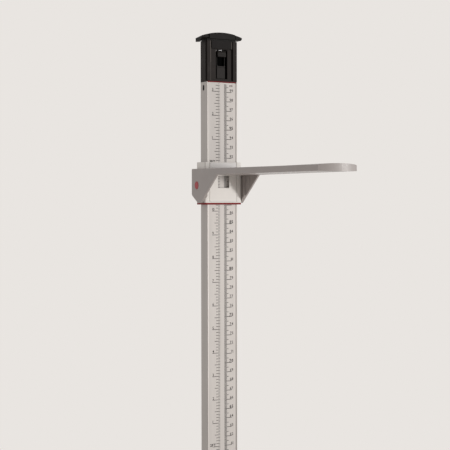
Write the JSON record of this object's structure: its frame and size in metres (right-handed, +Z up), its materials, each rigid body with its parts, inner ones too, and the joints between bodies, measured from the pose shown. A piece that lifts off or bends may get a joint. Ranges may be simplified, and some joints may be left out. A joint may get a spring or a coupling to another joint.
{
  "type": "stadiometer",
  "caption": "Wall-mounted telescopic aluminium measuring rod with a sliding white carriage, a fold-down grey headpiece, a red reading line and a black top cap with a spring catch.",
  "frame": {"origin": "centre of the lower wall bracket's back face, on the wall plane", "axes": "+Z up along the rod, +X to the right along the wall seen from the front, -Y out of the wall towards the person measured"},
  "size_m": [0.0524, 0.2519, 1.0186],
  "materials": {
    "anodised_profile": "satin natural anodised extrusion with faint lengthwise die lines",
    "printed_strip": "satin aluminium strip with fine dark printed graduations and plain numbers",
    "black_plastic": "moulded black plastic, fine matte grain, worn smoother on the edges",
    "guide_plastic": "plain black sliding plastic",
    "spring_steel": "bright spring steel and plated screws",
    "bracket_metal": "cast metal with satin grey paint",
    "white_plastic": "moulded warm white plastic, fine grain",
    "label_strip": "bare smooth strip, slightly darker than the slider",
    "pad_plastic": "natural low-friction plastic",
    "red_plastic": "through-coloured red plastic, half gloss",
    "grey_plastic": "moulded mid grey plastic with fine grain"
  },
  "bodies": {
    "rod": {"outer_profile": "anodised_profile", "outer_scale_strip": "printed_strip", "guide_bush": "guide_plastic", "bottom_end_cap": "black_plastic", "end_cap_screw_left": "spring_steel", "end_cap_screw_right": "spring_steel", "lower_wall_bracket": "bracket_metal", "upper_wall_bracket": "bracket_metal", "lower_bracket_set_screw": "spring_steel", "upper_bracket_set_screw": "spring_steel"},
    "extension": {"inner_profile": "anodised_profile", "inner_scale_strip": "printed_strip", "guide_shoe": "guide_plastic", "shoe_screw": "spring_steel", "extension_brake_spring": "spring_steel", "cap_body": "black_plastic", "cap_lid": "black_plastic", "cap_index_plate": "red_plastic", "cap_screw_left": "spring_steel", "cap_screw_right": "spring_steel", "catch_spring": "spring_steel"},
    "catch": {"cap_catch": "black_plastic"},
    "slider": {"slider_shell": "white_plastic", "slider_front_panel": "white_plastic", "slider_label_plate": "label_strip", "red_index_plate": "red_plastic", "slider_brake_spring": "spring_steel", "glide_pad_lower": "pad_plastic", "glide_pad_upper": "pad_plastic", "pivot_pin_left": "spring_steel", "pivot_pin_right": "spring_steel", "friction_leaf_left": "spring_steel", "friction_leaf_right": "spring_steel"},
    "headpiece": {"headpiece": "grey_plastic", "tongue_cover": "grey_plastic", "pivot_cap_left": "red_plastic", "pivot_cap_right": "red_plastic"}
  },
  "joints": [
    {"name": "head_slide", "type": "slide", "parent": "rod", "child": "slider", "axis": [0, 0, 1], "range_m": [-0.82, 0.127]},
    {"name": "tongue_fold", "type": "hinge", "parent": "slider", "child": "headpiece", "pos_m": [0, -0.0239, 0.7621], "axis": [1, 0, 0], "range_deg": [0, 90]},
    {"name": "extension_slide", "type": "slide", "parent": "rod", "child": "extension", "axis": [0, 0, 1], "range_m": [0, 0.9]},
    {"name": "catch_press", "type": "hinge", "parent": "extension", "child": "catch", "pos_m": [0, -0.0302, 0.8756], "axis": [-1, 0, 0], "range_deg": [0, 2.5], "stiffness_Nm_per_rad": 0.5}
  ]
}
